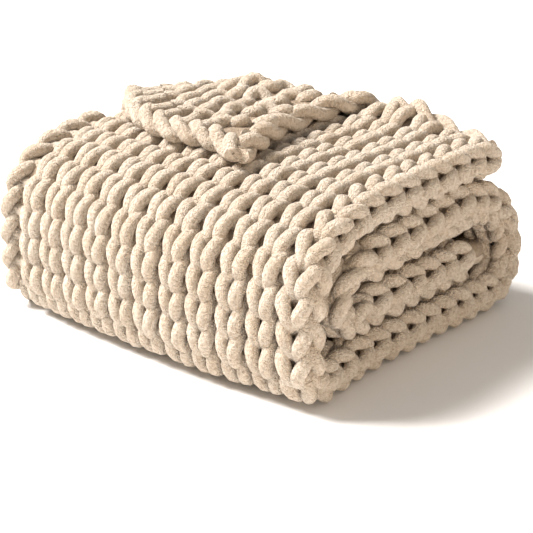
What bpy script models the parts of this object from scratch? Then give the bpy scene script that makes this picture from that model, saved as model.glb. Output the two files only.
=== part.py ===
# Chenille blanket: one cloth, hand knitted in thick soft yarn and folded into a block.
# Seen from its right-hand end the cloth is a flat spiral of four plies. The top ply ends free at
# the back and runs forward, the front fold takes it down to the ply on the floor, the back fold
# takes that up to the second ply, and the nose fold turns in to the third ply, which ends free
# inside the back fold. The back left corner of the top ply is turned over on top as a flap.
# Metres, +Z up. X runs along the front fold and Y from front to back. Places are measured from
# the front left corner of the block, and the finished cloth is centred over the origin.
import math
from collections import namedtuple

import bmesh
import bpy
import numpy as np
from mathutils import Vector

# Driving sizes of the block
LEFT_SIDE = 0.007
RIGHT_SIDE = 0.495
HEIGHT = 0.220
LEAN_KNIT = 0.027

# The ribs. Left of the first one lies the loose edge stitch, and the last one turns round the
# right-hand edge at its crest.
RIBS_START = 0.055
RIBS = 10.5
RIB_STEPS = 4
RIB_CRESTS = (0.0, 0.8, 1.0, 0.8)
RIB_DEPTH = 0.008
END_GROOVE = 0.005

# The plies, from the top down. A ply has the height of its middle and its thickness at its
# front and at its back.
Ply = namedtuple("Ply", "front_z back_z front_thick back_thick")
TOP = Ply(0.1905, 0.2010, 0.0480, 0.0420)
SECOND = Ply(0.1255, 0.1455, 0.0500, 0.0600)
THIRD = Ply(0.0745, 0.0815, 0.0450, 0.0490)
FLOOR = Ply(0.0235, 0.0265, 0.0470, 0.0530)

# The folds. A fold stands out furthest at its belly, which is a short upright wall between a
# quarter turn above and one below. Each turn has its own reach into the ply that it leads to.
# Squareness is 2 where the upper turn is an ellipse, and more where it is boxier. Outside and
# inside are the cloth's reach from its middle to its outer and its inner face.
Fold = namedtuple("Fold", "belly_y wall_top wall_foot reach_above reach_below squareness "
                          "outside inside plies_side")
FRONT = Fold(0.0110, 0.0950, 0.0490, 0.1950, 0.0280, 3.1, 0.0225, 0.0205, 1)
BACK = Fold(0.3920, 0.0680, 0.0560, 0.0850, 0.0340, 2.0, 0.0265, 0.0235, -1)
NOSE = Fold(0.0670, 0.0990, 0.0970, 0.0520, 0.0320, 2.0, 0.0215, 0.0110, 1)
THIRD_END_Y = 0.348
TIGHTEST_INSIDE = 0.8

# The top ply's free end: straight at the right, drawn out at the left to the turned corner,
# with its right-hand corner hanging a little and a raised rim between the two
FREE_END_Y = 0.363
TOP_PLY_STARTS_Y = 0.115
DRAWN_CORNER = 0.205
DRAWN_FROM_X = 0.335
DRAWN_POWER = 1.35
CORNER_HANG = 0.012
CORNER_HANG_WIDTH = 0.110
CORNER_HANGS_FROM_Y = 0.295
RIM_LIFT = 0.027
RIM_MIDDLE_X = 0.335
RIM_HALF_WIDTH = 0.095
RIM_FROM_Y = 0.290

# The turned corner: the line it is folded on, how far its soft edge bulges, and the height of the
# ridge along that line, from its left end to its right one
FOLD_LEFT = Vector((0.0, 0.155))
FOLD_RIGHT = Vector((0.330, 0.370))
Ridge = namedtuple("Ridge", "share height")
RIDGE = (Ridge(0.00, 0.234), Ridge(0.20, 0.238), Ridge(0.36, 0.244), Ridge(0.54, 0.261),
         Ridge(0.66, 0.250), Ridge(0.85, 0.248), Ridge(1.00, 0.244))
CORNER_THINS_OVER = 0.035
TIGHTEST_TURN = 0.0155
FLAP_CLEARANCE = 0.003
FLAP_SETTLES_OVER = 0.070
FLAP_BULGE = 0.042
FLAP_LENGTH = 0.300

# How many rows of faces each stretch of the cloth gets. The top ply's rows lie closer where its
# corner turns.
TOP_ROWS = 20
TURN_CROWDING = 3.0
TURN_CROWDED_OVER = 0.040
TOP_SAMPLES = 400
UPPER_TURN_ROWS = 8
LOWER_TURN_ROWS = 4
NOSE_ROWS = 3
PLY_ROWS = 4
END_STEPS = 4
END_SQUARENESS = 0.65

# A free end is rounded: its outermost row keeps this share of the thickness, and the next row
# lies this share of half the thickness further in.
LIP_THICKNESS = 0.35
LIP_ROW = 0.3

# How far the block settles out of square: slow waves in its height and its front, a front that
# bulges and runs forward to the right, and a back that is narrower than the front
HEIGHT_WANDER = 0.0030
HEIGHT_WAVES = (9.0, 6.0)
FRONT_WANDER = 0.0035
FRONT_WAVES = 11.0
FRONT_BULGE = 0.0130
FRONT_RUNS_OUT = 0.0080
FRONT_FADES_BY_Y = 0.200
BACK_NARROWER = 0.0150
NARROWS_BY_Y = 0.150

FIBRE_COLOUR = (0.77, 0.63, 0.47, 1.0)
FIBRE_ROUGHNESS = 0.95

# A station is a place along the cloth's middle in the block's section, with the direction that
# the outer face looks in, the cloth's reach to its outer and inner face, and the ribs' strength.
Station = namedtuple("Station", "y z out_y out_z outer inner rib")


def smooth(t):
    """Ease from 0 to 1."""
    t = min(max(t, 0.0), 1.0)
    return t * t * (3.0 - 2.0 * t)


def mix(a, b, t):
    return a + (b - a) * t


def ply_middle(ply, y):
    """Height of the middle of a ply and half its thickness, at a distance from the front."""
    front_y = FRONT.belly_y + FRONT.reach_above
    t = smooth((y - front_y) / (BACK.belly_y - front_y)) if ply is TOP else smooth(y / BACK.belly_y)
    return mix(ply.front_z, ply.back_z, t), mix(ply.front_thick, ply.back_thick, t) / 2


def ply_stations(ply, start_y, end_y, rows, facing, rib):
    """Stations strictly inside a level ply; facing is 1 where its outer face looks up."""
    stations = []
    for row in range(1, rows):
        y = mix(start_y, end_y, row / rows)
        z, half = ply_middle(ply, y)
        if ply is FLOOR:
            z = half
        stations.append(Station(y, z, 0.0, facing, half, half, rib))
    return stations


def turn_stations(fold, above, leaving_ply, ply_z, rows, rib, start_angle=0.0):
    """Stations of one quarter turn between a ply and a fold's wall, in the order that the
    cloth runs. The angle is 0 at the ply and a right angle at the wall."""
    reach = fold.reach_above if above else fold.reach_below
    wall_z = fold.wall_top if above else fold.wall_foot
    power = fold.squareness if above else 2.0
    rise = abs(ply_z - wall_z)
    stations = []
    for row in range(rows + 1):
        angle = mix(start_angle, 0.5 * math.pi, row / rows)
        level, upright = math.sin(angle) ** (2.0 / power), max(math.cos(angle), 0.0) ** (2.0 / power)
        y = fold.belly_y + fold.plies_side * reach * (1.0 - level)
        z = wall_z + (rise if above else -rise) * upright
        out = Vector((-fold.plies_side * level ** (power - 1.0) / reach,
                      (1.0 if above else -1.0) * upright ** (power - 1.0) / rise)).normalized()
        bend = ((reach * math.cos(angle)) ** 2 + (rise * math.sin(angle)) ** 2) ** 1.5 / (reach * rise)
        inside = min(fold.inside, TIGHTEST_INSIDE * bend)
        stations.append(Station(y, z, out.x, out.y, fold.outside, inside, rib))
    return stations if leaving_ply else stations[::-1]


def lower_stations():
    """Every station after the top ply, from the front fold to the free end of the third ply."""
    floor_front = FRONT.belly_y + FRONT.reach_below
    floor_back = BACK.belly_y - BACK.reach_below
    second_back = BACK.belly_y - BACK.reach_above
    nose_back = NOSE.belly_y + NOSE.reach_above
    joined_share = 1.0 - (TOP_PLY_STARTS_Y - FRONT.belly_y) / FRONT.reach_above
    joined_at = math.asin(joined_share ** (FRONT.squareness / 2.0))
    stations = turn_stations(FRONT, True, True, TOP.front_z, UPPER_TURN_ROWS, 1.0, joined_at)
    stations += turn_stations(FRONT, False, False, FLOOR.front_z, LOWER_TURN_ROWS, 0.5)
    stations += ply_stations(FLOOR, floor_front, floor_back, PLY_ROWS, -1.0, 0.0)
    stations += turn_stations(BACK, False, True, FLOOR.back_z, LOWER_TURN_ROWS, 0.5)
    second_z = ply_middle(SECOND, second_back)[0]
    stations += turn_stations(BACK, True, False, second_z, UPPER_TURN_ROWS, 1.0)
    stations += ply_stations(SECOND, second_back, nose_back, PLY_ROWS, 1.0, 1.0)
    second_z = ply_middle(SECOND, nose_back)[0]
    third_z = ply_middle(THIRD, nose_back)[0]
    stations += turn_stations(NOSE, True, True, second_z, NOSE_ROWS, 1.0)
    stations += turn_stations(NOSE, False, False, third_z, NOSE_ROWS, 1.0)
    stations += ply_stations(THIRD, nose_back, THIRD_END_Y, PLY_ROWS, -1.0, 1.0)
    z, half = ply_middle(THIRD, THIRD_END_Y)
    for from_end in (half, LIP_ROW * half, 0.0):
        reach = half * lip(from_end, half)
        stations.append(Station(THIRD_END_Y - from_end, z, 0.0, -1.0, reach, reach, 1.0))
    return stations


def lip(from_end, half):
    """Share of the thickness left at a distance from a free end, so that the end is rounded."""
    inside = min(max(from_end / half, 0.0), 1.0)
    return max(math.sqrt(1.0 - (1.0 - inside) ** 2), LIP_THICKNESS)


FOLD_ALONG = (FOLD_RIGHT - FOLD_LEFT).normalized()
FOLD_ACROSS = Vector((-FOLD_ALONG.y, FOLD_ALONG.x))
FOLD_LENGTH = (FOLD_RIGHT - FOLD_LEFT).length


def free_end(x):
    """How far back the top ply reaches before its corner is turned over."""
    return FREE_END_Y + DRAWN_CORNER * min(max(1.0 - x / DRAWN_FROM_X, 0.0), 1.0) ** DRAWN_POWER


def past_fold(x, y):
    """Distance past the fold line of the corner, and the place along that line."""
    offset = Vector((x, y)) - FOLD_LEFT
    return offset.dot(FOLD_ACROSS), offset.dot(FOLD_ALONG)


def top_surface(x, y):
    """Middle height, half thickness and backward slope of the top ply before its corner turns.
    Forward of its level stretch it is the upper turn of the front fold."""
    level_y = FRONT.belly_y + FRONT.reach_above
    z, half = ply_middle(TOP, min(y, BACK.belly_y))
    slope = 0.0
    if y < level_y:
        share = (level_y - max(y, TOP_PLY_STARTS_Y)) / FRONT.reach_above
        rise = TOP.front_z - FRONT.wall_top
        drop = (1.0 - share ** FRONT.squareness) ** (1.0 / FRONT.squareness)
        slope = rise / FRONT.reach_above * (share / drop) ** (FRONT.squareness - 1.0)
        z = FRONT.wall_top + rise * drop - slope * max(TOP_PLY_STARTS_Y - y, 0.0)
        half = mix(FRONT.outside, half, smooth((y - TOP_PLY_STARTS_Y) / (level_y - TOP_PLY_STARTS_Y)))
    hang = (smooth((x - RIGHT_SIDE + CORNER_HANG_WIDTH) / CORNER_HANG_WIDTH)
            * smooth((y - CORNER_HANGS_FROM_Y) / (FREE_END_Y - CORNER_HANGS_FROM_Y)))
    rim = (smooth(1.0 - abs(x - RIM_MIDDLE_X) / RIM_HALF_WIDTH)
           * smooth((y - RIM_FROM_Y) / (FREE_END_Y - RIM_FROM_Y)))
    return z - CORNER_HANG * hang + RIM_LIFT * rim, half, slope


def top_half(x, y):
    """Half the thickness of the top ply, which thins to a bare knit at the turned corner."""
    half = top_surface(x, y)[1]
    past = past_fold(x, y)[0]
    return mix(half, min(half, LEAN_KNIT / 2), smooth(1.0 + past / CORNER_THINS_OVER))


def turn_radius(share, underside):
    """Radius of the turned corner's fold, which puts its ridge at the height that the table
    gives for a share of the fold line, over cloth whose underside is at a height."""
    height = float(np.interp(share, [point.share for point in RIDGE], [point.height for point in RIDGE]))
    return max((height - LEAN_KNIT - underside) / 2, TIGHTEST_TURN)


def flap_bulge(x, y):
    """How far the flap's soft left-hand edge spreads outwards between the fold and the corner."""
    share = min(past_fold(x, y)[0] / FLAP_LENGTH, 1.0)
    return FLAP_BULGE * math.sin(math.pi * share) ** 2 * max(1.0 - x / FOLD_RIGHT.x, 0.0)


def place_top(x, y, out):
    """A point of the top ply, out from its middle, with the corner turned up and over."""
    if past_fold(x, y)[0] <= 0.0:
        z, half, slope = top_surface(x, y)
        thinned = half - top_half(x, y)
        tilt = math.atan(slope)
        return Vector((x, y - out * math.sin(tilt), z - thinned + out * math.cos(tilt)))
    flat = Vector((x - flap_bulge(x, y), y))
    past, along = past_fold(flat.x, flat.y)
    foot = flat - FOLD_ACROSS * past
    foot_z, foot_half = top_surface(foot.x, foot.y)[:2]
    radius = turn_radius(along / FOLD_LENGTH, foot_z - foot_half)
    angle = min(past / radius, math.pi)
    beyond = past - radius * angle
    plan = foot + FOLD_ACROSS * (radius * math.sin(angle) - beyond - out * math.sin(angle))
    turned = foot_z - foot_half + LEAN_KNIT / 2 + radius * (1.0 - math.cos(angle))
    under_z, under_half = top_surface(plan.x, plan.y)[:2]
    lying = under_z + under_half + FLAP_CLEARANCE + LEAN_KNIT / 2
    height = mix(turned, lying, smooth(beyond / FLAP_SETTLES_OVER))
    return Vector((plan.x, plan.y, height + out * math.cos(angle)))


def top_rows(x):
    """Distances from the front of the rows of the top ply at x, free end first, closer set
    where the corner turns."""
    end_y = free_end(x)
    half = LEAN_KNIT / 2
    turn_y = FOLD_LEFT.y + x * FOLD_ALONG.y / FOLD_ALONG.x
    samples = np.linspace(end_y - half, TOP_PLY_STARTS_Y, TOP_SAMPLES)
    density = 1.0 + TURN_CROWDING * np.exp(-((samples - turn_y - TURN_CROWDED_OVER) / TURN_CROWDED_OVER) ** 2)
    total = np.concatenate([[0.0], np.cumsum(density[1:])])
    wanted = np.linspace(0.0, total[-1], TOP_ROWS + 1)[:-1]
    rows = np.interp(wanted, total, samples)
    return [end_y, end_y - LIP_ROW * half] + [float(y) for y in rows]


def settle(point):
    """Move a point by the little that the folded block lies out of square."""
    x, y, z = point
    lift = z / HEIGHT
    share = (x - LEFT_SIDE) / (RIGHT_SIDE - LEFT_SIDE)
    front = 1.0 - smooth(y / FRONT_FADES_BY_Y)
    return Vector((
        x - BACK_NARROWER * share * smooth(y / NARROWS_BY_Y),
        y + FRONT_WANDER * lift * math.sin(FRONT_WAVES * x + 1.0)
        - front * (FRONT_BULGE * math.sin(math.pi * share) + FRONT_RUNS_OUT * share),
        z + lift * HEIGHT_WANDER * math.sin(HEIGHT_WAVES[0] * x + HEIGHT_WAVES[1] * y)))


def end_points(middle_x, side, half, rib):
    """Points round one side edge of the cloth, as places along X and out from its middle."""
    points = []
    for step in range(1, END_STEPS):
        angle = math.pi * step / END_STEPS
        groove = END_GROOVE * rib if 2 * step == END_STEPS else 0.0
        along = abs(math.sin(angle)) ** END_SQUARENESS
        out = math.copysign(abs(math.cos(angle)) ** END_SQUARENESS, math.cos(angle))
        out = 0.0 if 2 * step == END_STEPS else out
        points.append((middle_x + side * (half * along - groove), side * half * out))
    return points


def outer_points(outer, half, rib):
    """The outer face from left to right: the edge stitch, then the ribs' grooves and crests."""
    left, right = LEFT_SIDE + half, RIGHT_SIDE - half
    steps = int(RIBS * RIB_STEPS)
    points = [(left, outer)]
    for step in range(steps + 1):
        groove = RIB_DEPTH * rib * (1.0 - RIB_CRESTS[step % RIB_STEPS])
        points.append((mix(RIBS_START, right, step / steps), outer - groove))
    return points


def loop_points(outer, inner, rib):
    """One turn round the cloth across its width: the outer face from left to right, the
    right-hand edge, the plain inner face back to the left, and the left-hand edge. Each point
    is a place along X and a distance out from the cloth's middle."""
    half = (outer + inner) / 2
    shift = (outer - inner) / 2
    face = outer_points(outer, half, rib)
    back = [face[0]] + face[1::RIB_STEPS // 2]
    points = list(face)
    points += [(x, out + shift) for x, out in end_points(face[-1][0], 1.0, half, rib)]
    points += [(x, -inner) for x, out in back[::-1]]
    points += [(x, out + shift) for x, out in end_points(face[0][0], -1.0, half, rib)]
    return points


def top_ply_rows():
    """The rows of points of the top ply, from its free end to the front fold."""
    outline = loop_points(LEAN_KNIT / 2, LEAN_KNIT / 2, 1.0)
    row_table = [top_rows(x) for x, out in outline]
    rows = []
    for row in range(len(row_table[0])):
        line = []
        for column in range(len(outline)):
            y = row_table[column][row]
            half = top_half(outline[column][0], y)
            x, out = loop_points(half, half, 1.0)[column]
            line.append(place_top(x, y, out * lip(row_table[column][0] - y, half)))
        rows.append(line)
    return rows


def lower_rows():
    """The rows of points of all that follows the top ply."""
    rows = []
    for station in lower_stations():
        line = []
        for x, out in loop_points(station.outer, station.inner, station.rib):
            line.append(Vector((x, station.y + station.out_y * out, station.z + station.out_z * out)))
        rows.append(line)
    return rows


def close_end(mesh, row, flip):
    """Close a free end: a face at each side edge, and one between each step of the inner face
    and the step or steps of the outer face that lie over it."""
    outer = int(RIBS * RIB_STEPS) + 1
    ratio = RIB_STEPS // 2
    inner_start = outer + END_STEPS
    inner_end = inner_start + (outer - 1) // ratio + 1
    faces = [row[outer:inner_start + 1], row[inner_end:] + [row[0]],
             [row[0], row[1], row[inner_end - 1], row[inner_end]]]
    for step in range(inner_end - inner_start - 1):
        first = 1 + step * ratio
        faces.append(row[first:first + ratio + 1] + [row[inner_end - step - 2], row[inner_end - step - 1]])
    for face in faces:
        mesh.faces.new(face[::-1] if flip else face)


def build_blanket():
    """Join the rows into one closed cloth."""
    rows = [[settle(point) for point in line] for line in top_ply_rows() + lower_rows()]
    mesh = bmesh.new()
    vertices = [[mesh.verts.new(point) for point in line] for line in rows]
    for this_row, next_row in zip(vertices, vertices[1:]):
        count = len(this_row)
        for column in range(count):
            after = (column + 1) % count
            mesh.faces.new((this_row[column], this_row[after], next_row[after], next_row[column]))
    close_end(mesh, vertices[0], True)
    close_end(mesh, vertices[-1], False)
    bmesh.ops.recalc_face_normals(mesh, faces=mesh.faces)
    return mesh


def centre_over_origin(mesh):
    """Put the middle of the block's underside on the origin."""
    lowest = [min(vertex.co[axis] for vertex in mesh.verts) for axis in range(3)]
    highest = [max(vertex.co[axis] for vertex in mesh.verts) for axis in range(3)]
    middle = Vector(((lowest[0] + highest[0]) / 2, (lowest[1] + highest[1]) / 2, lowest[2]))
    bmesh.ops.translate(mesh, verts=mesh.verts, vec=-middle)


def chenille_material():
    material = bpy.data.materials.new("Chenille")
    material.use_nodes = True
    shader = material.node_tree.nodes["Principled BSDF"]
    shader.inputs["Base Color"].default_value = FIBRE_COLOUR
    shader.inputs["Roughness"].default_value = FIBRE_ROUGHNESS
    shader.inputs["Metallic"].default_value = 0.0
    return material


for leftover in list(bpy.data.objects):
    bpy.data.objects.remove(leftover, do_unlink=True)

cloth = build_blanket()
centre_over_origin(cloth)
blanket_mesh = bpy.data.meshes.new("blanket")
cloth.to_mesh(blanket_mesh)
cloth.free()
blanket_mesh.materials.append(chenille_material())
blanket_mesh.shade_smooth()
blanket_mesh.set_sharp_from_angle(angle=math.radians(60))
blanket = bpy.data.objects.new("blanket", blanket_mesh)
bpy.context.scene.collection.objects.link(blanket)
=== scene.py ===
import math
from collections import namedtuple

import bpy
import numpy as np
from mathutils import Matrix, Vector


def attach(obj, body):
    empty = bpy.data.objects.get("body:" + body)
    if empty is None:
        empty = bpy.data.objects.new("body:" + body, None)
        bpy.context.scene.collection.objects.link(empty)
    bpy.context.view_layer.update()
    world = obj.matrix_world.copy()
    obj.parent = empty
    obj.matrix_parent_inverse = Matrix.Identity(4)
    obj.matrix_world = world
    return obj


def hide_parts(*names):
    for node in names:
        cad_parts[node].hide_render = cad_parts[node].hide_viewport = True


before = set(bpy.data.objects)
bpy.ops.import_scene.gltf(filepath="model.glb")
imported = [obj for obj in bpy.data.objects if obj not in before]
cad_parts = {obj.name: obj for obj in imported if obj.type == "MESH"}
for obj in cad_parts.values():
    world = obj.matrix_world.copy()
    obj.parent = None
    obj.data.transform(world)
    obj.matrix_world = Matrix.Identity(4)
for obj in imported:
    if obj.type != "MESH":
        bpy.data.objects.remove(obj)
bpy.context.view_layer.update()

# The view. The block is seen from its front right corner and from a little above, through a
# long lens. X runs along the front fold, Y from the front to the back, and Z up, in metres.

VIEW_PLACE = Vector((1.1234, -1.2880, 0.6792))
VIEW_AZIMUTH = math.radians(40.86)
VIEW_ELEVATION = math.radians(20.23)
LENS_MM = 102.94
SENSOR_MM = 36.0


def studio_camera():
    back = Vector((math.sin(VIEW_AZIMUTH) * math.cos(VIEW_ELEVATION),
                   -math.cos(VIEW_AZIMUTH) * math.cos(VIEW_ELEVATION), math.sin(VIEW_ELEVATION)))
    right = Vector((math.cos(VIEW_AZIMUTH), math.sin(VIEW_AZIMUTH), 0.0))
    camera = bpy.data.objects.new("Camera", bpy.data.cameras.new("Camera"))
    camera.data.lens = LENS_MM
    camera.data.sensor_width = SENSOR_MM
    turn = Matrix((right, back.cross(right), back)).transposed().to_4x4()
    camera.matrix_world = Matrix.Translation(VIEW_PLACE) @ turn
    bpy.context.scene.collection.objects.link(camera)
    bpy.context.scene.camera = camera
    bpy.context.scene.view_settings.view_transform = "Standard"


studio_camera()

# The folded block. The blanket is one cloth, laid in a flat spiral of four plies: the top ply,
# the front fold, the ply on the floor, the back fold, the second ply, the nose fold and the
# third ply. The back left corner of the top ply is turned over on top.

LEFT_SIDE = 0.007
RIGHT_SIDE = 0.495
HEIGHT = 0.220
MIDDLE = Vector((0.2486, 0.1948, 0.0))
KNIT_THICK = 0.027

# A ply: the height of its middle and its thickness, at the front and at the back.
Ply = namedtuple("Ply", "front_z back_z front_thick back_thick")
TOP = Ply(0.1905, 0.2010, 0.0480, 0.0420)
SECOND = Ply(0.1255, 0.1455, 0.0500, 0.0600)
THIRD = Ply(0.0745, 0.0815, 0.0450, 0.0490)
FLOOR = Ply(0.0235, 0.0265, 0.0470, 0.0530)

# A fold: its outermost line, the upright wall between its two quarter turns, how far each turn
# reaches in, how square the upper one is (2 is round), the cloth's reach to its outer and to its
# inner face, and the side that the plies lie on.
Fold = namedtuple("Fold", "belly_y wall_top wall_foot reach_above reach_below squareness "
                          "outside inside plies_side")
FRONT = Fold(0.0110, 0.0950, 0.0490, 0.1950, 0.0280, 3.1, 0.0225, 0.0205, 1)
BACK = Fold(0.3920, 0.0680, 0.0560, 0.0850, 0.0340, 2.0, 0.0265, 0.0235, -1)
NOSE = Fold(0.0670, 0.0990, 0.0970, 0.0520, 0.0320, 2.0, 0.0215, 0.0110, 1)
THIRD_END_Y = 0.348

# The top ply: its free end, its corner drawn out at the back left, its back right corner that
# hangs a little, and the rise of its back rim.
FREE_END_Y = 0.363
TOP_PLY_STARTS_Y = 0.115
DRAWN_CORNER = 0.205
DRAWN_FROM_X = 0.335
DRAWN_POWER = 1.35
CORNER_HANG = 0.012
CORNER_HANG_WIDTH = 0.110
CORNER_HANGS_FROM_Y = 0.295
RIM_LIFT = 0.027
RIM_MIDDLE_X = 0.335
RIM_HALF_WIDTH = 0.095
RIM_FROM_Y = 0.290

# The turned corner: the line that it folds over, and the height of its ridge along that line.
FOLD_LEFT = Vector((0.0, 0.155))
FOLD_RIGHT = Vector((0.330, 0.370))
Ridge = namedtuple("Ridge", "share height")
RIDGE = (Ridge(0.00, 0.234), Ridge(0.20, 0.238), Ridge(0.36, 0.244), Ridge(0.54, 0.261),
         Ridge(0.66, 0.250), Ridge(0.85, 0.248), Ridge(1.00, 0.244))
CORNER_THINS_OVER = 0.035
TIGHTEST_TURN = 0.0155
FLAP_CLEARANCE = 0.003
FLAP_SETTLES_OVER = 0.070
FLAP_BULGE = 0.042
FLAP_LENGTH = 0.300

# How far the block lies out of square.
HEIGHT_WANDER = 0.0030
HEIGHT_WAVES = (9.0, 6.0)
FRONT_WANDER = 0.0035
FRONT_WAVES = 11.0
FRONT_WAVE_START = 1.0
FRONT_BULGE = 0.0130
FRONT_RUNS_OUT = 0.0080
FRONT_FADES_BY_Y = 0.200
BACK_NARROWER = 0.0150
NARROWS_BY_Y = 0.150

FOLD_ALONG = (FOLD_RIGHT - FOLD_LEFT).normalized()
FOLD_ACROSS = Vector((-FOLD_ALONG.y, FOLD_ALONG.x))
FOLD_LENGTH = (FOLD_RIGHT - FOLD_LEFT).length


def smooth(t):
    t = min(max(t, 0.0), 1.0)
    return t * t * (3.0 - 2.0 * t)


def mix(a, b, t):
    return a + (b - a) * t


def ply_middle(ply, y):
    """Height of the middle of a ply and half its thickness, at a distance from the front."""
    front_y = FRONT.belly_y + FRONT.reach_above
    t = smooth((y - front_y) / (BACK.belly_y - front_y)) if ply is TOP else smooth(y / BACK.belly_y)
    return mix(ply.front_z, ply.back_z, t), mix(ply.front_thick, ply.back_thick, t) / 2


# A place along the plies under the top one: the middle of the cloth, the direction that its
# outer face looks in, and its reach to that face and to the inner one.
Place = namedtuple("Place", "y z out_y out_z outer inner")
PLACES_PER_STRETCH = 24
ROUND_TURN = 2.0


def level_ply(ply, start_y, end_y, facing):
    places = []
    for y in np.linspace(start_y, end_y, PLACES_PER_STRETCH):
        z, half = ply_middle(ply, y)
        places.append(Place(y, half if ply is FLOOR else z, 0.0, facing, half, half))
    return places


def quarter_turn(fold, above, leaving_ply, ply_z, start_angle=0.0):
    reach = fold.reach_above if above else fold.reach_below
    wall_z = fold.wall_top if above else fold.wall_foot
    power = fold.squareness if above else ROUND_TURN
    rise = abs(ply_z - wall_z)
    places = []
    for angle in np.linspace(start_angle, 0.5 * math.pi, PLACES_PER_STRETCH):
        level = math.sin(angle) ** (2.0 / power)
        upright = max(math.cos(angle), 0.0) ** (2.0 / power)
        out = Vector((-fold.plies_side * level ** (power - 1.0) / reach,
                      (1.0 if above else -1.0) * upright ** (power - 1.0) / rise)).normalized()
        places.append(Place(fold.belly_y + fold.plies_side * reach * (1.0 - level),
                            wall_z + (rise if above else -rise) * upright,
                            out.x, out.y, fold.outside, fold.inside))
    return places if leaving_ply else places[::-1]


def plies_below():
    second_back = BACK.belly_y - BACK.reach_above
    nose_back = NOSE.belly_y + NOSE.reach_above
    joined_share = 1.0 - (TOP_PLY_STARTS_Y - FRONT.belly_y) / FRONT.reach_above
    joined_at = math.asin(joined_share ** (FRONT.squareness / 2.0))
    return (quarter_turn(FRONT, True, True, TOP.front_z, joined_at)
            + quarter_turn(FRONT, False, False, FLOOR.front_z)
            + level_ply(FLOOR, FRONT.belly_y + FRONT.reach_below,
                        BACK.belly_y - BACK.reach_below, -1.0)
            + quarter_turn(BACK, False, True, FLOOR.back_z)
            + quarter_turn(BACK, True, False, ply_middle(SECOND, second_back)[0])
            + level_ply(SECOND, second_back, nose_back, 1.0)
            + quarter_turn(NOSE, True, True, ply_middle(SECOND, nose_back)[0])
            + quarter_turn(NOSE, False, False, ply_middle(THIRD, nose_back)[0])
            + level_ply(THIRD, nose_back, THIRD_END_Y, -1.0))


def knit_path(places):
    """Distance along the knitted layer, which lies against the outer face, at each place."""
    line = []
    for place in places:
        reach = place.outer - KNIT_THICK / 2
        line.append(Vector((place.y + place.out_y * reach, place.z + place.out_z * reach)))
    return np.concatenate([[0.0], np.cumsum([(b - a).length for a, b in zip(line, line[1:])])])


BELOW = np.array(plies_below())
BELOW_ALONG = knit_path(plies_below())


def free_end(x):
    return FREE_END_Y + DRAWN_CORNER * min(max(1.0 - x / DRAWN_FROM_X, 0.0), 1.0) ** DRAWN_POWER


def past_fold(x, y):
    offset = Vector((x, y)) - FOLD_LEFT
    return offset.dot(FOLD_ACROSS), offset.dot(FOLD_ALONG)


def top_surface(x, y):
    """Middle height, half thickness and backward slope of the top ply before its corner turns.
    Forward of its level stretch it is the upper turn of the front fold."""
    level_y = FRONT.belly_y + FRONT.reach_above
    z, half = ply_middle(TOP, min(y, BACK.belly_y))
    slope = 0.0
    if y < level_y:
        share = (level_y - max(y, TOP_PLY_STARTS_Y)) / FRONT.reach_above
        rise = TOP.front_z - FRONT.wall_top
        drop = (1.0 - share ** FRONT.squareness) ** (1.0 / FRONT.squareness)
        slope = rise / FRONT.reach_above * (share / drop) ** (FRONT.squareness - 1.0)
        z = FRONT.wall_top + rise * drop - slope * max(TOP_PLY_STARTS_Y - y, 0.0)
        t = (y - TOP_PLY_STARTS_Y) / (level_y - TOP_PLY_STARTS_Y)
        half = mix(FRONT.outside, half, smooth(t))
    hang = (smooth((x - RIGHT_SIDE + CORNER_HANG_WIDTH) / CORNER_HANG_WIDTH)
            * smooth((y - CORNER_HANGS_FROM_Y) / (FREE_END_Y - CORNER_HANGS_FROM_Y)))
    rim = (smooth(1.0 - abs(x - RIM_MIDDLE_X) / RIM_HALF_WIDTH)
           * smooth((y - RIM_FROM_Y) / (FREE_END_Y - RIM_FROM_Y)))
    return z - CORNER_HANG * hang + RIM_LIFT * rim, half, slope


def top_half(x, y):
    """Half the thickness of the top ply, which thins to a bare knit at the turned corner."""
    half = top_surface(x, y)[1]
    past = past_fold(x, y)[0]
    return mix(half, min(half, KNIT_THICK / 2), smooth(1.0 + past / CORNER_THINS_OVER))


def turn_radius(share, underside):
    """Radius of the turned corner's fold, which puts its ridge at the height that the table
    gives for a share of the fold line, over cloth whose underside is at a height."""
    shares, heights = zip(*RIDGE)
    height = float(np.interp(share, shares, heights))
    return max((height - KNIT_THICK - underside) / 2, TIGHTEST_TURN)


def flap_bulge(x, y):
    """How far the flap's soft left-hand edge spreads outwards between the fold and the corner."""
    share = min(past_fold(x, y)[0] / FLAP_LENGTH, 1.0)
    return FLAP_BULGE * math.sin(math.pi * share) ** 2 * max(1.0 - x / FOLD_RIGHT.x, 0.0)


def place_top(x, y, out):
    """A point of the top ply, out from its middle, with the corner turned up and over."""
    if past_fold(x, y)[0] <= 0.0:
        z, half, slope = top_surface(x, y)
        thinned = half - top_half(x, y)
        tilt = math.atan(slope)
        return Vector((x, y - out * math.sin(tilt), z - thinned + out * math.cos(tilt)))
    flat = Vector((x - flap_bulge(x, y), y))
    past, along = past_fold(flat.x, flat.y)
    foot = flat - FOLD_ACROSS * past
    foot_z, foot_half = top_surface(foot.x, foot.y)[:2]
    radius = turn_radius(along / FOLD_LENGTH, foot_z - foot_half)
    angle = min(past / radius, math.pi)
    beyond = past - radius * angle
    plan = foot + FOLD_ACROSS * (radius * math.sin(angle) - beyond - out * math.sin(angle))
    turned = foot_z - foot_half + KNIT_THICK / 2 + radius * (1.0 - math.cos(angle))
    under_z, under_half = top_surface(plan.x, plan.y)[:2]
    lying = under_z + under_half + FLAP_CLEARANCE + KNIT_THICK / 2
    height = mix(turned, lying, smooth(beyond / FLAP_SETTLES_OVER))
    return Vector((plan.x, plan.y, height + out * math.cos(angle)))


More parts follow.
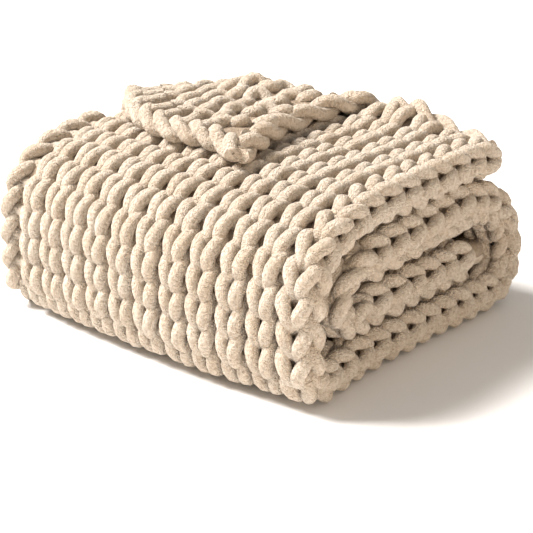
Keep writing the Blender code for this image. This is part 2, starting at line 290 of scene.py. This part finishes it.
def settle(point):
    """Move a point by the little that the folded block lies out of square."""
    x, y, z = point
    lift = z / HEIGHT
    share = (x - LEFT_SIDE) / (RIGHT_SIDE - LEFT_SIDE)
    front = 1.0 - smooth(y / FRONT_FADES_BY_Y)
    return Vector((
        x - BACK_NARROWER * share * smooth(y / NARROWS_BY_Y),
        y + FRONT_WANDER * lift * math.sin(FRONT_WAVES * x + FRONT_WAVE_START)
        - front * (FRONT_BULGE * math.sin(math.pi * share) + FRONT_RUNS_OUT * share),
        z + lift * HEIGHT_WANDER * math.sin(HEIGHT_WAVES[0] * x + HEIGHT_WAVES[1] * y))) - MIDDLE


# The knitted layer. Plain stitches run across the cloth in courses, and their legs stand in
# ribs, the wales, that run along it. The layer lies against each ply's outer face and curls
# round the side edges, as plain knitting does. Along the left one runs the loose edge stitch.

RIBS = 10.5
RIBS_START = 0.055
COURSE_PITCH = 0.0315
TOP_COURSES = 8
TOP_LENGTH = TOP_COURSES * COURSE_PITCH
CLOTH_LENGTH = TOP_LENGTH + BELOW_ALONG[-1]
EDGE_STITCH_WALE = -0.72
COURSES_DRAWN = 0.10
CURL_OUT = 0.0075
LEAST_CURL = 0.0005
UNDER_EDGE = 0.4
PRESSED_TO = 0.0098


def across(wale, half, shift):
    """The knitted layer's line across a ply: place along X, place out from the ply's middle,
    and the direction that it faces in, for a place counted in wales from the first rib."""
    turn = max(half - KNIT_THICK / 2, LEAST_CURL)
    left, right = LEFT_SIDE + half, RIGHT_SIDE - half
    x = RIBS_START + wale * (right - RIBS_START) / RIBS
    if left <= x <= right:
        return x, shift + turn, 0.0, 1.0
    side, corner = (1.0, right) if x > right else (-1.0, left)
    past = abs(x - corner)
    angle = min(past / (turn + CURL_OUT), math.pi)
    beyond = past - (turn + CURL_OUT) * angle
    return (corner + side * (turn * math.sin(angle) - beyond), shift + turn * math.cos(angle),
            side * math.sin(angle), math.cos(angle))


def top_x(wale):
    """Roughly how far to the right a wale lies on the top ply."""
    right = RIGHT_SIDE - KNIT_THICK / 2
    x = RIBS_START + wale * (right - RIBS_START) / RIBS
    return min(max(x, LEFT_SIDE + KNIT_THICK / 2), right)


def top_y(along, x):
    """Distance from the front of a place on the top ply. The drawn-out corner takes some of its
    length from the courses, and the rest from short courses, which lie before the first one."""
    first_course = mix(FREE_END_Y, free_end(x), COURSES_DRAWN)
    return mix(first_course, TOP_PLY_STARTS_Y, along / TOP_LENGTH)


def on_top(y, wale, out):
    """A point of the knitted layer on the top ply, at a distance from the front."""
    x, middle, face_x, face_out = across(wale, top_half(top_x(wale), y), 0.0)
    return settle(place_top(x + face_x * out, y, middle + face_out * out))


def place_below(along):
    """The place along the plies under the top one, for metres along the cloth."""
    return Place(*(np.interp(along - TOP_LENGTH, BELOW_ALONG, values) for values in BELOW.T))


def on_cloth(along, wale, out):
    """A point of the knitted layer: metres along the cloth from the top ply's first course, wales
    from its first rib, and metres out from the layer's middle."""
    if along < TOP_LENGTH:
        return on_top(top_y(along, top_x(wale)), wale, out)
    at = place_below(along)
    x, middle, face_x, face_out = across(wale, (at.outer + at.inner) / 2, (at.outer - at.inner) / 2)
    middle += face_out * out
    point = settle(Vector((x + face_x * out, at.y + at.out_y * middle, at.z + at.out_z * middle)))
    point.z = max(point.z, PRESSED_TO)
    return point


def edge_wale(along, side):
    """The last wale that curls round a side edge, which is further on where the ply is thick."""
    if along < TOP_LENGTH:
        x = top_x(RIBS if side > 0 else EDGE_STITCH_WALE)
        half = top_half(x, top_y(along, x))
    else:
        at = place_below(along)
        half = (at.outer + at.inner) / 2
    pitch = (RIGHT_SIDE - half - RIBS_START) / RIBS
    turn = half - KNIT_THICK / 2
    curl = math.pi * (turn + CURL_OUT) / pitch if turn > LEAST_CURL else 0.0
    if side > 0:
        return math.ceil(RIBS + curl + UNDER_EDGE)
    return -math.ceil((RIBS_START - LEFT_SIDE - half) / pitch + curl)


# The yarn. It is jumbo chenille: a thread core in a thick velvety pile, about 16 mm across. Each
# course is one length of it, and each stitch a loop drawn through the loop before.

YARN_RADIUS = 0.0081
STEPS_PER_STITCH = 24
YARN_SIDES = 14
LOOP_HEIGHT = 0.0236
Stitch = namedtuple("Stitch", "slant gather depth thickness plump")
RIB_STITCH = Stitch(0.162, 0.052, 0.0076, 1.00, 0.17)
EDGE_STITCH = Stitch(0.240, 0.010, 0.0088, 1.10, 0.28)
RUNG_OUT = -0.0050
RUNG_THICKNESS = 0.9
FIRST_COURSE_FROM = 0.010
TWIST = 0.0074
ROUNDED_STEPS = 6
BLUNT_STEP = 0.1
LUMP_SIZE = 0.007
LUMP_DEPTH = 0.0020
LUMP_DETAIL = 1.0
HAND_SEED = 5


def stitch_shape(wale):
    """Stitches stand upright and close in the ribs, and open to a plump V round the side edges."""
    opened = smooth(wale - RIBS + 1.0) + smooth(EDGE_STITCH_WALE - wale)
    return Stitch(*(mix(rib, edge, opened) for rib, edge in zip(RIB_STITCH, EDGE_STITCH)))


def loop(turn, height, shape):
    """One stitch's yarn, at an angle that is 0 at its head: wales to the side, metres towards
    the head, metres out, and the yarn's thickness compared with its usual one."""
    side = (turn / (2.0 * math.pi) + shape.slant * math.sin(2.0 * turn)
            - shape.gather * math.sin(turn))
    return (side, height * math.cos(turn), -shape.depth * math.cos(2.0 * turn),
            shape.thickness - shape.plump * math.cos(2.0 * turn))


hand = np.random.default_rng(HAND_SEED)
HAND_COURSES = 80
HAND_HALF_STITCHES = 40
HALF_STITCHES_BEFORE = 6.0
HAND_VARIES = {"side": 0.040, "along": 0.0030, "out": 0.0014, "height": 0.0016, "thick": 0.07}
unevenness = {name: hand.uniform(-amount, amount, (HAND_COURSES, HAND_HALF_STITCHES))
              for name, amount in HAND_VARIES.items()}


def uneven(name, course, wale):
    """How far the hand strays at a stitch, changing smoothly from one half stitch to the next."""
    half_stitch = 2.0 * wale + HALF_STITCHES_BEFORE
    return float(np.interp(half_stitch, range(HAND_HALF_STITCHES), unevenness[name][course]))


def rounded_ends(points):
    """A line of yarn that thins out at either end, where the pile closes over its core."""
    last = len(points) - 1
    rounded = []
    for step, (point, thick) in enumerate(points):
        short = 1.0 - min(min(step, last - step) + BLUNT_STEP, ROUNDED_STEPS) / ROUNDED_STEPS
        rounded.append((point, thick * math.sqrt(1.0 - short ** 2)))
    return rounded


def course_line(course):
    """The points of one course's yarn, from its left end to its right, with its thickness."""
    along = (course + 0.5) * COURSE_PITCH + FIRST_COURSE_FROM
    first, last = edge_wale(along, -1), edge_wale(along, 1)
    points = []
    for step in range((last - first) * STEPS_PER_STITCH + 1):
        wale = first + step / STEPS_PER_STITCH
        if first == -1 and wale < EDGE_STITCH_WALE:
            continue
        stitch = min(int(wale - first), last - first - 1) + first
        turn = 2.0 * math.pi * (wale - stitch - 0.5)
        height = LOOP_HEIGHT + uneven("height", course, wale)
        side, head, out, thick = loop(turn, height, stitch_shape(wale))
        if stitch == -1:
            side, head, out, thick = wale - stitch - 0.5, -height, RUNG_OUT, RUNG_THICKNESS
        if course < 0 and top_y(along - head, top_x(wale)) > free_end(top_x(wale)) - YARN_RADIUS:
            break
        points.append((on_cloth(along - head + uneven("along", course, wale),
                                stitch + 0.5 + side + uneven("side", course, wale),
                                out + uneven("out", course, wale)),
                       thick + uneven("thick", course, wale)))
    return rounded_ends(points)


def twisted_edge(row, ovals, place):
    """The edge stitches: two strands wound round each other, so that one oval after another
    leans along the edge. The place of a point is given by how many ovals along it lies, and how
    far it lies to the side and out."""
    strands = []
    for start in (0.0, math.pi):
        points = []
        for step in range(int(ovals * STEPS_PER_STITCH) + 1):
            oval = step / STEPS_PER_STITCH
            angle = math.pi * oval + start
            points.append((place(oval, TWIST * math.cos(angle), TWIST * math.sin(angle)),
                           1.0 + uneven("thick", row, oval % RIBS)))
        strands.append(rounded_ends(points))
    return strands


FREE_END_CHAIN = 0.006
EDGE_X = top_x(EDGE_STITCH_WALE)
EDGE_WALE_PITCH = 0.040
EDGE_FIRST_Y = mix(FREE_END_Y, free_end(EDGE_X), COURSES_DRAWN)
EDGE_FROM = (TOP_LENGTH * (EDGE_FIRST_Y - free_end(EDGE_X) + FREE_END_CHAIN)
             / (EDGE_FIRST_Y - TOP_PLY_STARTS_Y))
SIDE_OVAL = 0.031
SIDE_OVALS = (CLOTH_LENGTH - FREE_END_CHAIN - EDGE_FROM) / SIDE_OVAL
FIRST_END_INSET_WALES = 0.2
FIRST_END_FROM = EDGE_STITCH_WALE + FIRST_END_INSET_WALES
FIRST_END_OUT = 0.003


def side_edge(oval, side, out):
    """A place on the left side edge, where there is about one oval to a course."""
    along = min(EDGE_FROM + SIDE_OVAL * oval, CLOTH_LENGTH - FREE_END_CHAIN)
    return on_cloth(along, EDGE_STITCH_WALE + side / EDGE_WALE_PITCH, out)


def first_end(oval, side, out):
    """A place on the top ply's free end, which is bound off with a stitch to each wale."""
    wale = FIRST_END_FROM + oval
    return on_top(free_end(top_x(wale)) - FREE_END_CHAIN + side, wale, out + FIRST_END_OUT)


def last_end(oval, side, out):
    """A place on the third ply's end, which is cast on with a stitch to each wale."""
    return on_cloth(CLOTH_LENGTH - FREE_END_CHAIN + side, EDGE_STITCH_WALE + oval, out)


def yarn_tree():
    """Turns lines into yarn: a round section along each line, its pile a little lumpy."""
    tree = bpy.data.node_groups.new("Yarn", "GeometryNodeTree")
    identifiers = {}
    tree.interface.new_socket("Line", in_out="INPUT", socket_type="NodeSocketGeometry")
    for name, kind, value in (("Radius", "NodeSocketFloat", YARN_RADIUS),
                              ("Sides", "NodeSocketInt", YARN_SIDES),
                              ("Lump Size", "NodeSocketFloat", LUMP_SIZE),
                              ("Lump Depth", "NodeSocketFloat", LUMP_DEPTH),
                              ("Seed", "NodeSocketInt", 1),
                              ("Pile", "NodeSocketMaterial", None)):
        socket = tree.interface.new_socket(name, in_out="INPUT", socket_type=kind)
        if value is not None:
            socket.default_value = value
        identifiers[name] = socket.identifier
    tree.interface.new_socket("Yarn", in_out="OUTPUT", socket_type="NodeSocketGeometry")

    def node(kind, **settings):
        made = tree.nodes.new(kind)
        for key, value in settings.items():
            setattr(made, key, value)
        return made

    given = node("NodeGroupInput")
    result = node("NodeGroupOutput")
    circle = node("GeometryNodeCurvePrimitiveCircle")
    along = node("GeometryNodeSplineParameter")
    keep_along = node("GeometryNodeCaptureAttribute")
    keep_along.capture_items.new("FLOAT", "Along")
    tube = node("GeometryNodeCurveToMesh")
    store = node("GeometryNodeStoreNamedAttribute", data_type="FLOAT", domain="POINT")
    store.inputs["Name"].default_value = "along_yarn"
    place = node("GeometryNodeInputPosition")
    normal = node("GeometryNodeInputNormal")
    fineness = node("ShaderNodeMath", operation="DIVIDE")
    fineness.inputs[0].default_value = 1.0
    lumps = node("ShaderNodeTexNoise", noise_dimensions="4D")
    lumps.inputs["Detail"].default_value = LUMP_DETAIL
    centred = node("ShaderNodeMath", operation="SUBTRACT")
    centred.inputs[1].default_value = 0.5
    depth = node("ShaderNodeMath", operation="MULTIPLY")
    push = node("ShaderNodeVectorMath", operation="SCALE")
    move = node("GeometryNodeSetPosition")
    round_off = node("GeometryNodeSetShadeSmooth")
    realize = node("GeometryNodeRealizeInstances")
    finish = node("GeometryNodeSetMaterial")

    def join(a, output, b, entry):
        tree.links.new(a.outputs[output], b.inputs[entry])

    join(given, "Sides", circle, "Resolution")
    join(given, "Radius", circle, "Radius")
    join(given, "Line", keep_along, 0)
    join(along, "Length", keep_along, 1)
    join(keep_along, 0, tube, "Curve")
    join(circle, "Curve", tube, "Profile Curve")
    tube.inputs["Fill Caps"].default_value = True
    join(tube, "Mesh", store, "Geometry")
    join(keep_along, 1, store, "Value")
    join(given, "Lump Size", fineness, 1)
    join(place, "Position", lumps, "Vector")
    join(given, "Seed", lumps, "W")
    join(fineness, "Value", lumps, "Scale")
    join(lumps, "Fac", centred, 0)
    join(centred, "Value", depth, 0)
    join(given, "Lump Depth", depth, 1)
    join(normal, "Normal", push, 0)
    join(depth, "Value", push, "Scale")
    join(store, "Geometry", move, "Geometry")
    join(push, "Vector", move, "Offset")
    join(move, "Geometry", round_off, "Geometry")
    join(round_off, "Geometry", realize, "Geometry")
    join(realize, "Geometry", finish, "Geometry")
    join(given, "Pile", finish, "Material")
    join(finish, "Geometry", result, "Yarn")
    return tree, identifiers


yarn_nodes, yarn_inputs = yarn_tree()

# The pile's look: warm cream, paler on the ridges of the pile and browner between its tufts,
# which is painted light and shade, with faint rings where tufts are bound to the core. Deep in
# the knit it is browner, which is painted shade.

# Two creams that the pile varies between, and a brown that is painted shade between its tufts.
PileColours = namedtuple("PileColours", "Pale Warm Grain")
YARN_COLOURS = PileColours((0.87, 0.76, 0.635, 1.0), (0.80, 0.67, 0.53, 1.0),
                           (0.61, 0.47, 0.34, 1.0))
# The yarn darkened for the sheet behind the stitches: painted shade in the gaps between them.
GROUND_SHADE_COLOURS = PileColours((0.50, 0.37, 0.26, 1.0), (0.45, 0.33, 0.22, 1.0),
                             (0.34, 0.24, 0.15, 1.0))

# A mottle: a noise, and the values of it between which one colour gives way to the next.
Mottle = namedtuple("Mottle", "fineness detail starts_at full_at")
DYE = Mottle(30.0, 2.0, 0.35, 0.65)
# The fine grain gives the tufts their height, and where it is high, painted shade between them.
PILE_GRAIN_AND_SHADE = Mottle(300.0, 3.0, 0.42, 0.72)

# A mix node's colour sockets go by number, since others there have the same names.
COLOUR_A, COLOUR_B, COLOUR_OUT = 6, 7, 2

TUFT_FINENESS = 700.0
TUFT_DETAIL = 2.0
RING_PITCH = 0.0045
RING_STRAY = 9.0
RING_SHARE = 0.05
TUFT_DEPTH = 0.0080
TUFT_STRENGTH = 0.9
PILE_ROUGHNESS = 0.95
PILE_SHINE = 0.10
SHEEN = 0.35
SHEEN_ROUGHNESS = 0.40
SHEEN_TINT = (1.0, 0.96, 0.90, 1.0)


def pile_effect():
    """The pile's colour and its tufts' height, from its three colours; the third is painted shade.
    """
    group = bpy.data.node_groups.new("Pile", "ShaderNodeTree")
    for name in PileColours._fields:
        group.interface.new_socket(name, in_out="INPUT", socket_type="NodeSocketColor")
    group.interface.new_socket("Colour", in_out="OUTPUT", socket_type="NodeSocketColor")
    group.interface.new_socket("Height", in_out="OUTPUT", socket_type="NodeSocketFloat")
    nodes, links = group.nodes, group.links
    given, result = nodes.new("NodeGroupInput"), nodes.new("NodeGroupOutput")
    place = nodes.new("ShaderNodeTexCoord")
    along = nodes.new("ShaderNodeAttribute")
    along.attribute_name = "along_yarn"

    def noise(fineness, detail):
        made = nodes.new("ShaderNodeTexNoise")
        made.inputs["Scale"].default_value = fineness
        made.inputs["Detail"].default_value = detail
        links.new(place.outputs["Object"], made.inputs["Vector"])
        return made.outputs["Fac"]

    def between(mottle, value, a, b):
        spread = nodes.new("ShaderNodeMapRange")
        spread.inputs["From Min"].default_value = mottle.starts_at
        spread.inputs["From Max"].default_value = mottle.full_at
        links.new(value, spread.inputs["Value"])
        blend = nodes.new("ShaderNodeMix")
        blend.data_type = "RGBA"
        links.new(spread.outputs["Result"], blend.inputs["Factor"])
        links.new(a, blend.inputs[COLOUR_A])
        links.new(b, blend.inputs[COLOUR_B])
        return blend.outputs[COLOUR_OUT]

    def weighed(value, factor, added):
        made = nodes.new("ShaderNodeMath")
        made.operation = "MULTIPLY_ADD"
        links.new(value, made.inputs[0])
        made.inputs[1].default_value = factor
        links.new(added, made.inputs[2])
        return made.outputs["Value"]

    grain_and_shade, tufts = noise(PILE_GRAIN_AND_SHADE.fineness, PILE_GRAIN_AND_SHADE.detail), noise(TUFT_FINENESS, TUFT_DETAIL)
    dye = noise(DYE.fineness, DYE.detail)
    dyed = between(DYE, dye, given.outputs["Pale"], given.outputs["Warm"])
    # Painted shade: brown between the pile's tufts, where the fine grain is high.
    links.new(between(PILE_GRAIN_AND_SHADE, grain_and_shade, dyed, given.outputs["Grain"]), result.inputs["Colour"])
    rings = nodes.new("ShaderNodeMath")
    rings.operation = "SINE"
    strayed = weighed(grain_and_shade, RING_STRAY, tufts)
    links.new(weighed(along.outputs["Fac"], 2.0 * math.pi / RING_PITCH, strayed), rings.inputs[0])
    piled = weighed(grain_and_shade, 1.0, tufts)
    links.new(weighed(rings.outputs["Value"], RING_SHARE, piled), result.inputs["Height"])
    return group


pile = pile_effect()


def chenille(name, colours):
    """The velvety finish, matt with a soft sheen, in a set of the pile's colours."""
    material = bpy.data.materials.new(name)
    material.use_nodes = True
    nodes, links = material.node_tree.nodes, material.node_tree.links
    shader = nodes["Principled BSDF"]
    shader.inputs["Roughness"].default_value = PILE_ROUGHNESS
    shader.inputs["Sheen Weight"].default_value = SHEEN
    shader.inputs["Sheen Roughness"].default_value = SHEEN_ROUGHNESS
    shader.inputs["Sheen Tint"].default_value = SHEEN_TINT
    shader.inputs["Specular IOR Level"].default_value = PILE_SHINE
    effect = nodes.new("ShaderNodeGroup")
    effect.node_tree = pile
    for entry, colour in colours._asdict().items():
        effect.inputs[entry].default_value = colour
    bump = nodes.new("ShaderNodeBump")
    bump.inputs["Strength"].default_value = TUFT_STRENGTH
    bump.inputs["Distance"].default_value = TUFT_DEPTH
    links.new(effect.outputs["Colour"], shader.inputs["Base Color"])
    links.new(effect.outputs["Height"], bump.inputs["Height"])
    links.new(bump.outputs["Normal"], shader.inputs["Normal"])
    return material


yarn_pile = chenille("Chenille", YARN_COLOURS)
# The same finish in the darkened colours, painted shade for the back of the knit.
ground_shade_pile = chenille("Chenille darkened as painted shade", GROUND_SHADE_COLOURS)

# The knitting, all of one yarn, is in six pieces from one end of the cloth to the other, each
# with the courses of one ply or fold. The strands along the edges are one piece more.

SHORT_COURSES = 6
COURSES = int((CLOTH_LENGTH - LOOP_HEIGHT) / COURSE_PITCH)
Stretch = namedtuple("Stretch", "piece first_course end_course")
STRETCHES = (Stretch("knit_top_ply", -SHORT_COURSES, TOP_COURSES),
             Stretch("knit_front_fold", TOP_COURSES, 17), Stretch("knit_floor_ply", 17, 28),
             Stretch("knit_back_fold", 28, 35), Stretch("knit_second_ply", 35, 43),
             Stretch("knit_third_ply", 43, COURSES))

# The first of three rows of unevenness for the edges, past those of the courses.
EDGE_ROW = 60


def yarn_piece(name, lines):
    """One mesh of yarn that follows the lines, each a list of points with their thickness."""
    curve = bpy.data.curves.new(name, "CURVE")
    curve.dimensions = "3D"
    for line in lines:
        spline = curve.splines.new("POLY")
        spline.points.add(len(line) - 1)
        spline.points.foreach_set("co", [value for point, thick in line for value in (*point, 1.0)])
        spline.points.foreach_set("radius", [thick for point, thick in line])
    lines_object = bpy.data.objects.new(name + "_lines", curve)
    bpy.context.scene.collection.objects.link(lines_object)
    modifier = lines_object.modifiers.new("Yarn", "NODES")
    modifier.node_group = yarn_nodes
    modifier[yarn_inputs["Pile"]] = yarn_pile
    modifier[yarn_inputs["Seed"]] = len(lines)
    depsgraph = bpy.context.evaluated_depsgraph_get()
    mesh = bpy.data.meshes.new_from_object(lines_object.evaluated_get(depsgraph))
    bpy.data.objects.remove(lines_object)
    mesh.name = name
    piece = bpy.data.objects.new(name, mesh)
    bpy.context.scene.collection.objects.link(piece)
    return piece


# A short course that ends before its first whole stitch is left out.
knitting = []
for stretch in STRETCHES:
    rows = [course_line(course) for course in range(stretch.first_course, stretch.end_course)]
    knitting.append(yarn_piece(stretch.piece, [row for row in rows if len(row) > STEPS_PER_STITCH]))
knitting.append(yarn_piece("edge_stitches", twisted_edge(EDGE_ROW, SIDE_OVALS, side_edge)
                           + twisted_edge(EDGE_ROW + 1, RIBS - FIRST_END_FROM, first_end)
                           + twisted_edge(EDGE_ROW + 2, RIBS - EDGE_STITCH_WALE, last_end)))
for piece in knitting:
    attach(piece, "root")
    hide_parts("blanket")

# The ground of the knit: the heads and feet of the stitches close up behind their legs, and
# this thin sheet stands for that closed back. Its brown is the yarn darkened, painted shade
# in the gaps between the stitches.

GROUND_HALF = 0.0012
GROUND_OUT = -0.002
GROUND_LEFT_WALE = -1.6
GROUND_INSET_WALES = 0.4
GROUND_ROWS = 120
GROUND_COLUMNS = 60


def ground_cloth():
    """The sheet behind the stitches: an outer and an inner face, joined at the rim."""
    vertices, faces = [], []
    for face in (1.0, -1.0):
        for row in range(GROUND_ROWS + 1):
            along = mix(0.0, CLOTH_LENGTH - FREE_END_CHAIN, row / GROUND_ROWS)
            first = max(edge_wale(along, -1), GROUND_LEFT_WALE)
            last = edge_wale(along, 1) - GROUND_INSET_WALES
            for column in range(GROUND_COLUMNS + 1):
                wale = mix(first, last, column / GROUND_COLUMNS)
                out = face * GROUND_HALF + GROUND_OUT
                if along < TOP_LENGTH:
                    end_y = free_end(top_x(wale)) - FREE_END_CHAIN
                    y = mix(end_y, TOP_PLY_STARTS_Y, along / TOP_LENGTH)
                    vertices.append(on_top(y, wale, out))
                else:
                    vertices.append(on_cloth(along, wale, out))
    count = GROUND_COLUMNS + 1
    back = (GROUND_ROWS + 1) * count
    for row in range(GROUND_ROWS):
        for column in range(GROUND_COLUMNS):
            a = row * count + column
            b, c, d = a + 1, a + count + 1, a + count
            faces += [(a, d, c, b), (back + a, back + b, back + c, back + d)]
    rim = (list(range(count))
           + [row * count + count - 1 for row in range(1, GROUND_ROWS + 1)]
           + [GROUND_ROWS * count + column for column in range(count - 2, -1, -1)]
           + [row * count for row in range(GROUND_ROWS - 1, -1, -1)])
    faces += [(a, b, back + b, back + a) for a, b in zip(rim, rim[1:])]
    mesh = bpy.data.meshes.new("ground")
    mesh.from_pydata(vertices, [], faces)
    mesh.shade_smooth()
    # The sheet's brown is painted shade between the stitches.
    mesh.materials.append(ground_shade_pile)
    ground = bpy.data.objects.new("ground", mesh)
    bpy.context.scene.collection.objects.link(ground)
    return ground


ground = ground_cloth()
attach(ground, "root")
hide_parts("blanket")

# The studio: a white floor, one broad soft light high on the left, a low warm light on the right
# that opens the shadow of the folded end, and soft warm white all round.

FLOOR_WHITE = (0.93, 0.925, 0.92, 1.0)
FLOOR_ROUGHNESS = 0.7
FLOOR_REACH = 6.0
SURROUND_COLOUR = (1.0, 0.95, 0.89, 1.0)
SURROUND_STRENGTH = 0.41
LIGHTS_AIM = Vector((0.0, 0.0, 0.1))

Lamp = namedtuple("Lamp", "name place size power colour")
LAMPS = (Lamp("Key light", Vector((-3.0, -1.8, 4.0)), 2.0, 805.0, (1.0, 0.97, 0.94)),
         Lamp("Low fill", Vector((2.2, -0.7, 0.35)), 0.7, 20.0, (1.0, 0.82, 0.63)))


def studio_floor():
    mesh = bpy.data.meshes.new("floor")
    sides = ((-1, -1), (1, -1), (1, 1), (-1, 1))
    corners = [(x * FLOOR_REACH, y * FLOOR_REACH, 0) for x, y in sides]
    mesh.from_pydata(corners, [], [(0, 1, 2, 3)])
    paper = bpy.data.materials.new("White floor")
    paper.use_nodes = True
    paper.node_tree.nodes["Principled BSDF"].inputs["Base Color"].default_value = FLOOR_WHITE
    paper.node_tree.nodes["Principled BSDF"].inputs["Roughness"].default_value = FLOOR_ROUGHNESS
    mesh.materials.append(paper)
    floor = bpy.data.objects.new("floor", mesh)
    bpy.context.scene.collection.objects.link(floor)


def studio_lights():
    world = bpy.data.worlds.new("Studio")
    world.use_nodes = True
    world.node_tree.nodes["Background"].inputs["Color"].default_value = SURROUND_COLOUR
    world.node_tree.nodes["Background"].inputs["Strength"].default_value = SURROUND_STRENGTH
    bpy.context.scene.world = world
    for lamp in LAMPS:
        light = bpy.data.lights.new(lamp.name, "AREA")
        light.size, light.energy, light.color = lamp.size, lamp.power, lamp.colour
        stand = bpy.data.objects.new(lamp.name, light)
        stand.location = lamp.place
        stand.rotation_euler = (LIGHTS_AIM - lamp.place).to_track_quat("-Z", "Y").to_euler()
        bpy.context.scene.collection.objects.link(stand)


studio_floor()
studio_lights()
